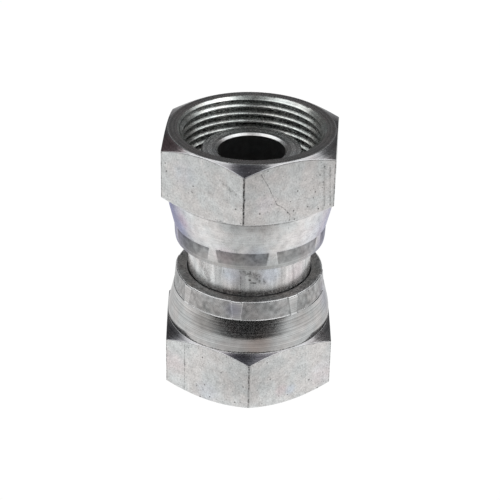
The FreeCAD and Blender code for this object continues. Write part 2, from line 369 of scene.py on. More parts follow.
def nut_measures(nut):
    """The radii and heights of a nut that follow from its driving sizes."""
    form = SimpleNamespace()
    form.flat = nut.across_flats / 2
    form.root = nut.thread_diameter / 2
    form.countersink = form.root + nut.countersink_standout
    form.throat = BEAD_RADIUS - nut.throat_over_bead
    form.pocket = BEAD_RADIUS + nut.pocket_over_bead
    form.neck = form.pocket + nut.neck_wall
    form.ring = form.flat - nut.ring_inset
    form.crimp = form.throat + nut.crimp_wall
    form.end = form.throat + nut.end_wall
    form.crimp_start = NUT_LENGTH - nut.crimp_length
    form.taper_start = form.crimp_start - nut.taper_length
    form.hex_height = form.taper_start - nut.neck_length
    form.throat_start = NUT_LENGTH - nut.throat_length
    form.pocket_back = form.throat_start - (form.pocket - form.throat) * math.tan(nut.pocket_slope)
    form.pocket_front = nut.thread_end + form.pocket - THREAD_CREST
    return form


def nut_columns(corner_angle, jaw_angle, nut):
    """The angles of a nut's columns, worked out in degrees, and closer at corners and marks' edges."""
    even = np.arange(0, 360, COLUMN_STEP)
    corners = (math.degrees(corner_angle) + SIDE * np.arange(6))[:, None] + BY_CORNER
    half = math.degrees(nut.jaw_start_angle) / 2
    marks = math.degrees(jaw_angle) + 360 / nut.jaw_count * np.arange(nut.jaw_count)
    right = marks[:, None] + half - BY_MARK_EDGE
    left = marks[:, None] - half + BY_MARK_EDGE
    fine = np.concatenate([corners.ravel(), right.ravel(), left.ravel()]) % 360
    clear = np.min(np.abs((even[:, None] - fine + 180) % 360 - 180), axis=1) > CLEAR_OF_FINE
    turns = np.sort(np.concatenate([even[clear], fine, [0.0]]))
    turns = turns[np.concatenate([[True], np.diff(turns) > SAME_COLUMN])]
    return np.radians(np.append(turns, 360.0))


def hexagon_radius(turn, corner_angle, form, fillet):
    """The hexagon's radius at each angle, and how close to a corner each angle is.

    At an angle a from a corner, a flat lies at flat / cos(30 degrees - a). Close to the corner the
    fillet's circle, whose centre lies c = (flat - fillet) / cos(30 degrees) out, gives
    c cos(a) + sqrt(fillet^2 - c^2 sin^2(a)).
    """
    half_side = math.radians(SIDE / 2)
    away = np.abs((turn - corner_angle + half_side) % (2 * half_side) - half_side)
    centre = (form.flat - fillet) / math.cos(half_side)
    flats = form.flat / np.cos(half_side - away)
    tangent = math.atan2(fillet * math.sin(half_side), centre + fillet * math.cos(half_side))
    rounded = centre * np.cos(away) + np.sqrt(np.maximum(fillet**2 - (centre * np.sin(away)) ** 2, 0))
    close = smooth_step(tangent * CORNER_REACH, tangent * CORNER_CORE, away)
    return np.where(away < tangent, rounded, flats), close


def jaw_marks(turn, jaw_angle, nut):
    """How much of a mark each column carries, and how far it turns at the skirt's end.

    Between a mark's edges the columns close up in proportion as the mark narrows, and between
    neighbouring marks they spread, so that the edges stay on columns.
    """
    half_period = TAU / nut.jaw_count / 2
    place = (turn - jaw_angle + half_period) % (2 * half_period) - half_period
    from_middle = np.abs(place)
    half_start = nut.jaw_start_angle / 2
    half_end = nut.jaw_end_angle / 2
    inside = from_middle * half_end / half_start
    spread = (half_period - half_end) / (half_period - half_start)
    outside = half_period - (half_period - from_middle) * spread
    warp = np.sign(place) * (np.where(from_middle < half_start, inside, outside) - from_middle)
    outer_edge, inner_edge = np.radians(MARK_EDGE)
    carried = smooth_step(half_start + outer_edge, half_start - inner_edge, from_middle)
    return carried, warp


def outer_section(form, nut, hexagon, carried, unmarked):
    """Corners, eases and regions from the mouth's ring over the outside to the thread, for every column.

    The taper begins with an arc that leaves the neck along the axis and turns by
    atan(length / across) - acos(radius / reach), where its tangent meets the crimp's start. The crimp
    is a cone, and a mark lies a jaw's depth below it. Before an unmarked end it comes up to the cone.
    The corners of a mark's ledge and of the end's chamfer are eased by a third of their length, and
    the hollow corner at the neck by half as much as a turned edge.
    """
    across = form.crimp - (form.neck - nut.bend_radius)
    reach = math.hypot(across, nut.taper_length)
    bend_turn = math.atan2(nut.taper_length, across) - math.acos(nut.bend_radius / reach)
    bend = np.linspace(0, bend_turn, BEND_ROWS)
    bend_radii = form.neck - nut.bend_radius * (1 - np.cos(bend))
    bend_heights = form.taper_start + nut.bend_radius * np.sin(bend)
    hexagon_start = (hexagon - form.ring) * math.tan(nut.mouth_chamfer)
    hexagon_end = form.hex_height - (hexagon - form.neck) * math.tan(nut.neck_chamfer)
    slope = (form.crimp - form.end) / nut.crimp_length
    ledge_ease = nut.ledge / 3
    depth = carried * nut.jaw_depth
    end_depth = depth if unmarked == 0 else 0
    mark_end = (form.end + slope * unmarked, NUT_LENGTH - unmarked, ledge_ease, "skirt")
    section = [
        (form.countersink, 0, 0, "ring"),
        (form.ring, 0, nut.edge, "chamfer"),
        (hexagon, hexagon_start, nut.edge, "flat"),
        (hexagon, hexagon_end, nut.edge, "chamfer"),
        (form.neck, form.hex_height, nut.edge / 2, "skirt"),
        *[(radius, height, 0, "skirt") for radius, height in zip(bend_radii, bend_heights)],
        (form.crimp, form.crimp_start, ledge_ease, "skirt"),
        (form.crimp - slope * nut.ledge - depth, form.crimp_start + nut.ledge, ledge_ease, "skirt"),
        *([mark_end] if unmarked > 0 else []),
        (form.end - end_depth, NUT_LENGTH - nut.end_chamfer, nut.end_chamfer / 3, "skirt"),
        (form.end - nut.end_chamfer - end_depth, NUT_LENGTH, nut.edge, "end"),
        (form.throat, NUT_LENGTH, nut.edge, "inside"),
        (form.throat, form.throat_start, nut.edge, "inside"),
        (form.pocket, form.pocket_back, nut.edge, "inside"),
        (form.pocket, form.pocket_front, nut.edge, "inside"),
        (THREAD_CREST, nut.thread_end, 0, "inside"),
    ]
    blank = 0 * hexagon
    corners = [np.stack([radius + blank, height + blank], axis=-1) for radius, height, _, _ in section]
    eases = [ease for _, _, ease, _ in section]
    regions = [region for _, _, _, region in section]
    return np.array(corners), eases, regions


def thread_section(form, nut, turn):
    """Rows of the internal thread, from its end to the mouth.

    A row follows the helix height = start + pitch * turn / full turn, kept between the mouth and the
    thread's end. Its radius goes from a rounded crest to the root, fades out over the last pitch, and is
    never less than the countersink's cone. Also returns how deep in a root each point lies.
    """
    to_crest = [1 - phase for phase in TO_ROOT[-2:0:-1]]
    phases = np.array([*TO_ROOT, *to_crest])
    pitches = np.arange(-LEAD_IN, math.ceil(nut.thread_end / nut.thread_pitch))
    starts = (pitches[:, None] + phases).ravel()[:, None]
    height = np.clip((starts + turn / TAU) * nut.thread_pitch + nut.thread_shift, 0, nut.thread_end)
    from_crest = np.abs((starts + 0.5) % 1 - 0.5)
    cut = np.clip((from_crest - CREST_HALF) / (0.5 - CREST_HALF - ROOT_HALF), 0, 1)
    cut = ROUNDED * smooth_step(0, 1, cut) + (1 - ROUNDED) * cut
    fade = np.clip((nut.thread_end - height) / nut.thread_pitch, 0, 1)
    radius = THREAD_CREST + (form.root - THREAD_CREST) * cut * fade
    cone = form.countersink - height * math.tan(nut.countersink_angle / 2)
    in_root = np.where(radius > cone, cut * fade, 0.0)
    return np.stack([np.maximum(radius, cone), height], axis=-1)[::-1], in_root[::-1]


def swivel_nut(name, nut, corner_angle, jaw_angle, unmarked, place, materials):
    """One nut as a closed surface of columns round the axis and rows along its section."""
    form = nut_measures(nut)
    turn = nut_columns(corner_angle, jaw_angle, nut)
    hexagon, at_corner = hexagon_radius(turn, corner_angle, form, nut.corner_fillet)
    carried, warp = jaw_marks(turn, jaw_angle, nut)
    corners, eases, regions = outer_section(form, nut, hexagon, carried, unmarked)
    rows, edges, sides = softened(corners, eases, nut.edge)
    names = [regions[side] for side in sides]
    thread, in_root = thread_section(form, nut, turn)
    rows = np.concatenate([rows, thread])
    names += ["inside"] + ["thread"] * (len(thread) - 1)
    radius = rows[..., 0]
    height = rows[..., 1]
    outside = radius > form.throat + nut.end_wall / 2
    narrowed = smooth_step(form.crimp_start, NUT_LENGTH - unmarked, height) * outside
    points = place(ring_points(radius, height, turn + warp * narrowed))
    edge = np.concatenate([edges, np.zeros(len(thread))])[:, None] + 0 * turn
    flat = np.array([region == "flat" for region in names])
    along_flat = np.append(flat, False) & np.insert(flat, 0, False)
    grime = at_corner * along_flat[:, None]
    deep = smooth_step(nut.countersink_standout, DEEP_TURNS * nut.thread_pitch, thread[..., 1])
    # The thread's rows carry painted shade instead of grime: darker in its roots and from some turns in
    grime[len(edges):] = ROOT_SHADE * smooth_step(*ROOT_SHADE_EDGE, in_root) + DEEP_SHADE * deep
    pressed = carried * smooth_step(form.crimp_start, form.crimp_start + nut.ledge, height) * outside
    if unmarked > 0:
        mark_end = NUT_LENGTH - unmarked
        pressed = pressed * smooth_step(mark_end, mark_end - nut.runout, height)
    slots = [list(materials).index(name) for name in names]
    layers = {"edge": edge, "grime": grime, "pressed": pressed}
    return new_piece(name, points, slots, materials.values(), layers, closed=False)


# Spigot


def spigot_end(spigot):
    """Radius and height of the corners from the lower bore's edge to the start of the body."""
    collar = THREAD_CREST - spigot.collar_clearance
    body = BEAD_RADIUS - spigot.bead_under
    collar_front = spigot.bead_front - (BEAD_RADIUS - collar) * math.tan(spigot.front_slope)
    foot = collar - spigot.shoulder

    def cone(from_tip):
        """The radius of the nose at a distance behind its tip."""
        return foot - (collar_front - NOSE_TIP - from_tip) * math.tan(spigot.cone_angle / 2)

    floor = cone(spigot.groove_centre) + spigot.ring_standout - spigot.ring_cord
    front = spigot.groove_centre - spigot.groove_width / 2
    back = spigot.groove_centre + spigot.groove_width / 2
    bead_back = spigot.bead_front + spigot.bead_length
    return [
        (BORE_RADIUS, NOSE_TIP + spigot.bore_chamfer),
        (BORE_RADIUS + spigot.bore_chamfer, NOSE_TIP),
        (cone(0) - spigot.nose_chamfer, NOSE_TIP),
        (cone(spigot.nose_chamfer), NOSE_TIP + spigot.nose_chamfer),
        (cone(front), NOSE_TIP + front),
        (floor, NOSE_TIP + front),
        (floor, NOSE_TIP + back),
        (cone(back), NOSE_TIP + back),
        (foot, collar_front),
        (collar, collar_front),
        (BEAD_RADIUS, spigot.bead_front),
        (BEAD_RADIUS, bead_back),
        (body, bead_back + spigot.bead_under * math.tan(spigot.back_slope)),
    ]


def turned_spigot(name, spigot, materials):
    """The spigot as a closed surface of revolution, the same at both ends."""
    lower = spigot_end(spigot)
    upper = [(radius, TOTAL_HEIGHT - height) for radius, height in reversed(lower)]
    middle = (BORE_RADIUS, TOTAL_HEIGHT / 2)
    corners = np.array([middle, *lower, *upper, middle])[:, None]
    eases = [0, *[spigot.edge] * (len(corners) - 2), 0]
    nose = ["nose"] * (len(lower) - 2)
    regions = ["bore", "rim", *nose, "body", *nose, "rim", "bore"]
    rows, edges, sides = softened(corners, eases, spigot.edge)
    turn = np.linspace(0, TAU, SPIGOT_COLUMNS, endpoint=False)
    points = ring_points(rows[..., 0], rows[..., 1], turn)
    slots = [list(materials).index(regions[side]) for side in sides]
    layers = {"edge": edges[:, None] + 0 * turn}
    return new_piece(name, points, slots, materials.values(), layers, closed=True)


# Finishes


# Octaves of the finer noises
FINE = 3.0
FINEST = 4.0
GRAIN = 0.3 * MM
CLOUD = 1.3 * MM
TINT_CLOUD = 3.5 * MM
# The noise goes over from the cool to the warm tint between these values
TINT_EDGE = (0.35, 0.65)
MOTTLE = 0.9 * MM
MOTTLE_SHADE = 1.6
SMEAR = 0.8 * MM
SMEAR_SQUEEZE = (1.0, 1.0, 0.12)
# Dirt lies thin, and thick in patches where the noise rises between these values
DIRT_PATCH = 0.35 * MM
PATCH_EDGE = (0.47, 0.58)
THIN_DIRT = 0.3
MOST_DIRT = 0.9
# Pits: size of a cell, share of the cells with a pit on dirty plating, radius and strength
PITS = ((0.6 * MM, 0.5, 0.11 * MM, 0.6), (1.6 * MM, 1.0, 0.19 * MM, 1.0))
PIT_DEPTH = 0.015 * MM
CHOICE_EDGE = 0.01
# The share of its reach or half width over which a form is full: first of a speck, a stroke and a
# ring of dirt, then of a spot and of a band
CORE = 0.4
SPOT_CORE = 0.2
BAND_CORE = 0.6
# What the grain, the press and dirt add to the roughness
ROUGH_GRAIN = 0.2
ROUGH_PRESSED = 0.1
ROUGH_DIRT = 0.2
BUMP_STRENGTH = 0.5

RUBBER_GRAIN = 0.15 * MM
RUBBER_PALE = 1.6
RUBBER_ROUGH = 0.45
RUBBER_ROUGH_GRAIN = 0.15
RUBBER_BUMP = 0.004 * MM


class Wire:
    """A socket in a node tree. Arithmetic on it adds Math nodes."""

    def __init__(self, tree, socket):
        self.tree = tree
        self.socket = socket

    def __add__(self, other):
        return self.tree.math("ADD", self, other)

    def __sub__(self, other):
        return self.tree.math("SUBTRACT", self, other)

    def __rsub__(self, other):
        return self.tree.math("SUBTRACT", other, self)

    def __mul__(self, other):
        return self.tree.math("MULTIPLY", self, other)

    __radd__ = __add__
    __rmul__ = __mul__


class Tree:
    """The nodes of a material or of the world."""

    def __init__(self, tree):
        self.nodes = tree.nodes
        self.links = tree.links

    def node(self, kind, settings=None, inputs=None):
        """A node of a kind. Its settings are made first, then the values or wires of its sockets."""
        node = self.nodes.new(kind)
        for key, value in (settings or {}).items():
            setattr(node, key, value)
        for key, value in (inputs or {}).items():
            self.feed(node.inputs[key], value)
        return node

    def wire(self, kind, settings=None, inputs=None, output=0):
        """The wire from an output of a new node."""
        return Wire(self, self.node(kind, settings, inputs).outputs[output])

    def feed(self, socket, value):
        """Gives a socket a wire or a value."""
        if isinstance(value, Wire):
            self.links.new(value.socket, socket)
        else:
            socket.default_value = value

    def math(self, operation, *values):
        """A Math node."""
        return self.wire("ShaderNodeMath", {"operation": operation}, dict(enumerate(values)))

    def vector(self, operation, *values):
        """A Vector Math node. It gives a number for a dot product or a distance, and else a vector."""
        output = "Value" if operation in ("DOT_PRODUCT", "DISTANCE") else "Vector"
        return self.wire("ShaderNodeVectorMath", {"operation": operation}, dict(enumerate(values)), output)

    def axes(self, place):
        """The x, y and z of a place."""
        node = self.node("ShaderNodeSeparateXYZ", None, {0: place})
        return [Wire(self, node.outputs[k]) for k in range(3)]

    def ramp(self, value, low, high):
        """0 at low, 1 at high, and a smooth step between."""
        inputs = {"Value": value, "From Min": low, "From Max": high}
        return self.wire("ShaderNodeMapRange", {"interpolation_type": "SMOOTHSTEP"}, inputs)

    def within(self, distance, reach, core=CORE):
        """1 as far as a core, which is a share of the reach, and 0 from the reach on."""
        return self.ramp(distance, reach, core * reach)

    def mix(self, factor, first, second):
        """A colour between two colours."""
        inputs = {0: factor, 6: self.paint(first), 7: self.paint(second)}
        return self.wire("ShaderNodeMix", {"data_type": "RGBA"}, inputs, 2)

    def tinted(self, colour, tint, factor):
        """A colour that takes on a tint by a factor."""
        return self.mix(factor, colour, self.vector("MULTIPLY", colour, tint))

    def paint(self, value):
        """A colour with its alpha, or the wire as it is."""
        return value if isinstance(value, Wire) else (*value[:3], 1.0)


class Finish(Tree):
    """A material and the nodes that make its surface."""

    def __init__(self, name):
        self.material = bpy.data.materials.new(name)
        self.material.use_nodes = True
        super().__init__(self.material.node_tree)
        self.shader = self.nodes["Principled BSDF"]
        self.place = self.wire("ShaderNodeTexCoord", output="Object")

    def attribute(self, name):
        """A number that the mesh carries for each point, or 0 where it carries none."""
        return self.wire("ShaderNodeAttribute", {"attribute_name": name}, output="Fac")

    def radius(self):
        """The distance from the axis."""
        x, y, _ = self.axes(self.place)
        return self.math("SQRT", x * x + y * y)

    def round_axis(self):
        """A place that is the same all round the axis: the radius and the height."""
        return self.wire("ShaderNodeCombineXYZ", None, {0: self.radius(), 1: self.axes(self.place)[2]})

    def noise(self, size, detail=2.0, place=None):
        """Noise whose blobs are about size across, from 0 to 1. detail is its number of octaves."""
        inputs = {"Vector": place or self.place, "Scale": 1 / size, "Detail": detail}
        return self.wire("ShaderNodeTexNoise", None, inputs)

    def specks(self, size, share, radius):
        """1 inside small round specks, one in a share of the cells that are size across."""
        cells = self.node("ShaderNodeTexVoronoi", None, {"Vector": self.place, "Scale": 1 / size})
        inside = self.within(Wire(self, cells.outputs["Distance"]), radius / size)
        chosen = self.ramp(Wire(self, cells.outputs["Color"]), 1 - share, 1 - share + CHOICE_EDGE)
        return inside * chosen

    def spot(self, centre, reach):
        """1 at a place, and 0 from a reach away."""
        return self.within(self.vector("DISTANCE", self.place, centre), reach, SPOT_CORE)

    def ring(self, height, width, core=CORE):
        """1 at a height, and 0 from half a width above and below it."""
        return self.within(self.math("ABSOLUTE", self.axes(self.place)[2] - height), width / 2, core)

    def stroke(self, points, width):
        """1 on a line from point to point, and 0 from half a width away.

        The foot on a piece of the line from a along d lies at a + d clamp((p - a) . d / d^2).
        """
        nearest = 1.0
        for start, end in zip(points, points[1:]):
            along = end - start
            from_start = self.vector("SUBTRACT", self.place, start)
            share = self.vector("DOT_PRODUCT", from_start, along / along.length_squared)
            share = self.math("MINIMUM", self.math("MAXIMUM", share, 0.0), 1.0)
            away = self.vector("DISTANCE", from_start, self.vector("MULTIPLY", share, along))
            nearest = self.math("MINIMUM", nearest, away)
        return self.within(nearest, width / 2)

    def set_sockets(self, values):
        """Gives the shader's sockets wires or values."""
        for name, value in values.items():
            self.feed(self.shader.inputs[name], value)

    def surface(self, base, roughness, height, metallic=1.0):
        """Sets the shader, with a Bump node for the height in metres."""
        inputs = {"Strength": BUMP_STRENGTH, "Distance": 1.0, "Height": height}
        normal = self.wire("ShaderNodeBump", None, inputs)
        base = self.paint(base)
        self.set_sockets({"Base Color": base, "Roughness": roughness, "Metallic": metallic, "Normal": normal})
        return self.material


def metal_finish(name, colours, look):
    """Zinc plating with a look.

    Its brightness varies with a fine grain, with clouds, with smears along the axis and with lathe lines
    round it. Faint tints lie over it in clouds, and stronger ones in spots, some of which are painted shade
    and painted light; the bands are painted shade. Edges are worn bright, and the bright worn edges also
    stand in for highlights. Pits, grime, strokes and dark rings darken it, and in the thread the grime is
    painted shade, darker in the roots and deeper in. What the jaws pressed is duller and mottled and has no
    lathe lines. Where the surface is seen edge on, its gloss takes the tint of the rim.
    """
    look = SimpleNamespace(**look)
    finish = Finish(name)
    finish.set_sockets({"Specular Tint": finish.paint(look.rim)})
    pressed = finish.attribute("pressed")
    unpressed = 1 - pressed
    grain = finish.noise(GRAIN, FINE) - 0.5
    cloud = finish.noise(CLOUD, FINE) - 0.5
    mottle = finish.noise(MOTTLE, FINEST) - 0.5
    smear = finish.noise(SMEAR, FINE, finish.vector("MULTIPLY", finish.place, SMEAR_SQUEEZE)) - 0.5
    lines = finish.noise(look.line * MM, place=finish.round_axis())
    shade = 1 + grain * look.grain + cloud * look.clouds + smear * look.smears
    shade = shade + (lines - 0.5) * look.line_shade * unpressed + mottle * MOTTLE_SHADE * pressed

    tint = finish.mix(finish.ramp(finish.noise(TINT_CLOUD), *TINT_EDGE), colours.cool, colours.warm)
    plated = finish.mix(pressed, getattr(colours, look.colour), getattr(colours, look.pressed))
    base = finish.vector("MULTIPLY", finish.vector("MULTIPLY", plated, tint), shade)
    # Spots tint the plating, and some of them are painted shade and painted light
    for centre, reach, strength, spot_tint in look.spots:
        base = finish.tinted(base, spot_tint, finish.spot(centre * MM, reach * MM) * strength)
    # Bands are painted shade
    for height, width, strength, band_shade in look.bands:
        base = finish.tinted(base, band_shade, finish.ring(height * MM, width * MM, BAND_CORE) * strength)
    # Edges mix towards the worn colour: wear, and also painted highlights along the edges
    base = finish.mix(finish.attribute("edge") * look.worn, base, colours.worn)

    broken = THIN_DIRT + finish.ramp(finish.noise(DIRT_PATCH), *PATCH_EDGE) * (1 - THIN_DIRT)
    dirt_and_shade = finish.attribute("grime") * broken * look.grime
    for cell, share, radius, strength in PITS:
        dirt_and_shade = dirt_and_shade + finish.specks(cell, share * look.dirt, radius) * strength
    for points, width, strength in look.strokes:
        dirt_and_shade = dirt_and_shade + finish.stroke([point * MM for point in points], width * MM) * broken * strength
    for height, width, strength in look.rings:
        dirt_and_shade = dirt_and_shade + finish.ring(height * MM, width * MM) * broken * strength
    dirt_and_shade = finish.math("MINIMUM", dirt_and_shade, MOST_DIRT)
    # Dirt and the thread's painted shade both take the dirt colour
    base = finish.mix(dirt_and_shade, base, colours.dirt)

    roughness = look.rough + grain * ROUGH_GRAIN + pressed * ROUGH_PRESSED + dirt_and_shade * ROUGH_DIRT
    relief = (grain * look.bump + lines * unpressed * look.groove) * MM - dirt_and_shade * PIT_DEPTH
    return finish.surface(base, roughness, relief)


def rubber_finish(name, colours):
    """Black rubber with a faint moulded grain."""
    finish = Finish(name)
    grain = finish.noise(RUBBER_GRAIN)
    pale = [RUBBER_PALE * share for share in colours.rubber]
    base = finish.mix(grain, colours.rubber, pale)
    roughness = RUBBER_ROUGH + grain * RUBBER_ROUGH_GRAIN
    return finish.surface(base, roughness, grain * RUBBER_BUMP, metallic=0.0)


# Places on the connector, in millimetres and degrees from the front


UPPER_LEFT = UPPER_CORNER - SIDE / 2
UPPER_RIGHT = UPPER_CORNER + SIDE / 2
LOWER_LEFT = LOWER_CORNER - SIDE / 2
LOWER_RIGHT = LOWER_CORNER + SIDE / 2
FLAT_RADIUS = ACROSS_FLATS / 2
BODY_RADIUS = BEAD_RADIUS / MM - BEAD_OVER_BODY


def at_turn(turn, radius, height):
    """The point at a turn, a radius and a height."""
    turn = math.radians(turn)
    return Vector((radius * math.sin(turn), -radius * math.cos(turn), height))


def on_body(*places):
    """Points on the spigot's body, from turns and heights."""
    return [at_turn(turn, BODY_RADIUS, height) for turn, height in places]


def on_flat(turn, *places):
    """Points on the flat that faces a turn, from places across it and heights."""
    across = Vector((math.cos(math.radians(turn)), math.sin(math.radians(turn)), 0))
    return [at_turn(turn, FLAT_RADIUS, height) + across * place for place, height in places]


# Tints of the plating. Blue and pink only tint it; violet, amber and maroon tint it and add painted shade;
# the next three are painted shade, and the last two are painted light and a painted highlight
BLUE = (0.86, 0.93, 1.08)
VIOLET_SHADE = (0.66, 0.66, 0.90)
PINK = (1.06, 0.92, 0.97)
AMBER_SHADE = (0.84, 0.72, 0.67)
MAROON_SHADE = (0.88, 0.70, 0.72)
SHADE = (0.30, 0.30, 0.33)
COOL_SHADE = (0.62, 0.62, 0.72)
GREY_SHADE = (0.58, 0.58, 0.57)
PAINTED_LIGHT = (1.12, 1.11, 1.11)
PAINTED_GLEAM = (1.50, 1.48, 1.48)

# Looks. Lengths are in millimetres. A spot is its centre, reach, strength and tint, a stroke its points,
# width and strength, a dark ring its height, width and strength, and a band of painted shade the same and
# its tint. Some spots tint the plating, and the others are painted shade and painted light.


def like(look, **differences):
    """A look that differs from another one in what the differences say."""
    return {**look, **differences}


PLAIN = dict(
    colour="zinc", pressed="pressed", rough=0.3, rim=(1.0, 1.0, 1.0), grain=0.5, clouds=0.5, smears=0.0,
    line=0.2, line_shade=0.0, groove=0.0, bump=0.003, worn=0.4, dirt=0.1, grime=0.9,
    spots=(), strokes=(), rings=(), bands=(),
)
TURNED = like(PLAIN, line=0.26, line_shade=1.5, groove=0.012)
NUT_LOOKS = {
    "ring": like(TURNED, colour="ring", rough=0.28, grain=0.4, worn=1.0),
    "chamfer": like(
        TURNED, colour="chamfer", rough=0.18, rim=(0.4, 0.4, 0.4),
        groove=0.003, bump=0.001, worn=0.6, dirt=0.3,
    ),
    "flat": like(PLAIN, rough=0.36, grain=1.0, clouds=0.6, bump=0.005, dirt=1.0),
    "skirt": like(PLAIN, line=0.22, bump=0.001),
    "end": like(TURNED, colour="end", rough=0.4, grain=2.4, bump=0.012, worn=1.0, dirt=0.3),
    "inside": like(TURNED, colour="ring", rough=0.35),
    # In the thread, the grime attribute is painted shade in the roots and deep in the thread
    "thread": like(TURNED, colour="thread", rough=0.24, clouds=1.2, line=0.16, grime=1.0),
}
# The long scratch down the upper nut's right flat
SCRATCH = ((-5.5, 47.7), (-4.2, 45.4), (-2.4, 41.4), (-1.2, 40.6), (0.2, 38.9), (0.0, 37.6))
UPPER_LOOKS = {
    "skirt": dict(
        colour="upper_skirt", pressed="upper_pressed", rough=0.3, rim=(0.50, 0.50, 0.63),
        grain=0.6, clouds=0.8, line_shade=0.3, groove=0.002, worn=0.2,
        rings=((37.4, 0.35, 0.35),),
        # Two bands of painted shade round the skirt's end
        bands=((28.0, 1.8, 0.55, GREY_SHADE), (29.1, 2.6, 0.3, GREY_SHADE)),
        strokes=(
            ([at_turn(26.7, 14.86, 37.3), at_turn(26.2, 14.86, 35.5), at_turn(26.4, 14.8, 33.9)], 0.16, 0.6),
        ),
        # The first, second, fifth and sixth spots are painted shade, the second with a violet tint; the pink
        # and blue ones tint the plating, and the last is painted light
        spots=(
            (at_turn(-69, 14.8, 34.5), 7.5, 0.9, COOL_SHADE),
            (at_turn(-84, 14.8, 35.0), 5.5, 1.0, VIOLET_SHADE),
            (at_turn(-53, 14.8, 34.6), 2.2, 0.7, PINK),
            (at_turn(-58, 14.8, 32.2), 2.6, 0.7, BLUE),
            (at_turn(-52, 13.0, 29.6), 4.4, 0.8, GREY_SHADE),
            (at_turn(38, 13.0, 29.6), 3.8, 0.15, GREY_SHADE),
            (at_turn(-18, 14.0, 30.5), 3.0, 0.5, PINK),
            (at_turn(5, 14.0, 30.5), 3.4, 0.4, BLUE),
            (at_turn(52, 14.2, 33.5), 8.0, 1.0, PAINTED_LIGHT),
        ),
    ),
    "flat": dict(
        grime=0.95,
        spots=(
            (on_flat(UPPER_LEFT, (-3.7, 44.6))[0], 3.6, 0.25, BLUE),
            (on_flat(UPPER_RIGHT, (-4.5, 41.8))[0], 2.6, 0.35, PINK),
            # A wide spot of painted light on the right flat
            (on_flat(UPPER_RIGHT, (0.0, 43.0))[0], 11.0, 1.0, PAINTED_LIGHT),
        ),
        strokes=(
            (on_flat(UPPER_RIGHT, *SCRATCH), 0.18, 0.75),
            (on_flat(UPPER_RIGHT, (6.4, 47.2), (6.7, 39.4)), 0.5, 0.35),
            (on_flat(UPPER_RIGHT, (7.5, 46.9), (7.9, 39.2)), 0.4, 0.45),
            (on_flat(UPPER_LEFT, (-2.1, 41.9), (-1.9, 41.8)), 0.4, 1.2),
            (on_flat(UPPER_LEFT, (4.0, 45.8), (7.4, 44.0)), 0.9, 0.35),
            (on_flat(UPPER_LEFT, (3.0, 38.0), (8.0, 37.9)), 0.6, 0.35),
        ),
    ),
    "chamfer": dict(
        # All four spots are painted shade on the chamfers, the first with a maroon tint
        spots=(
            (at_turn(UPPER_CORNER - SIDE, 16.0, 47.8), 5.5, 1.0, MAROON_SHADE),
            (at_turn(UPPER_CORNER, 16.0, 47.8), 4.5, 0.7, COOL_SHADE),
            (at_turn(UPPER_CORNER + 2 * SIDE, 16.0, 47.8), 5.0, 0.8, SHADE),
            (at_turn(UPPER_CORNER - 2 * SIDE, 16.0, 47.8), 5.0, 0.8, SHADE),
        ),
    ),
    "thread": dict(
        # The first spot is a painted highlight on the countersink, the other two are painted shade
        spots=(
            (at_turn(-149, 12.9, 48.8), 5.0, 0.9, PAINTED_GLEAM),
            (at_turn(105, 12.5, 45.0), 8.0, 0.7, GREY_SHADE),
            (at_turn(-110, 12.5, 44.5), 6.0, 0.4, GREY_SHADE),
        ),
    ),
}
LOWER_LOOKS = {
    "skirt": dict(
        colour="lower_skirt", rough=0.17, rim=(0.7, 0.7, 0.7),
        grain=0.3, line_shade=1.5, groove=0.008, worn=0.9,
        rings=((11.6, 0.35, 0.7),),
        # The first, second and fifth spots are painted shade, the amber and violet ones tint the plating and
        # add painted shade, and the last is painted light
        spots=(
            (at_turn(-32, 14.1, 16.6), 4.4, 0.9, GREY_SHADE),
            (at_turn(46, 13.9, 17.8), 4.2, 0.5, GREY_SHADE),
            (at_turn(7, 14.8, 13.2), 3.6, 0.8, AMBER_SHADE),
            (at_turn(84, 14.0, 17.0), 5.5, 0.4, VIOLET_SHADE),
            (at_turn(-11, 13.3, 19.6), 2.4, 0.8, COOL_SHADE),
            (at_turn(3, 13.3, 19.0), 8.0, 0.6, PAINTED_LIGHT),
        ),
    ),
    "flat": dict(
        grime=0.7,
        spots=(
            (on_flat(LOWER_LEFT, (-7.2, 5.9))[0], 3.5, 0.3, PINK),
            (on_flat(LOWER_LEFT, (0.0, 2.0))[0], 3.2, 0.3, BLUE),
            (on_flat(LOWER_RIGHT, (-1.8, 3.0))[0], 1.8, 0.5, PINK),
            (on_flat(LOWER_RIGHT, (0.2, 2.5))[0], 1.6, 0.5, BLUE),
            (on_flat(LOWER_RIGHT, (7.2, 4.0))[0], 4.0, 0.35, PINK),
        ),
        strokes=(
            (on_flat(LOWER_LEFT, (-4.7, 10.4), (-4.8, 0.1)), 0.17, 0.75),
            (on_flat(LOWER_RIGHT, (3.0, 11.2), (3.5, 0.0)), 0.16, 0.4),
        ),
    ),
    "chamfer": dict(
        # Both spots are painted shade on the chamfers
        spots=(
            (at_turn(LOWER_CORNER - SIDE, 16.0, 11.0), 5.0, 0.7, SHADE),
            (at_turn(-5.0, 16.0, 11.0), 3.2, 0.8, SHADE),
        ),
    ),
}
SPIGOT_LOOK = like(PLAIN, line=0.3, groove=0.003)
BORE_LOOK = like(SPIGOT_LOOK, colour="bore", rough=0.35)
NOSE_LOOK = like(PLAIN, colour="nose", rough=0.25, grain=0.2, line=0.45, line_shade=3.2, groove=0.06)
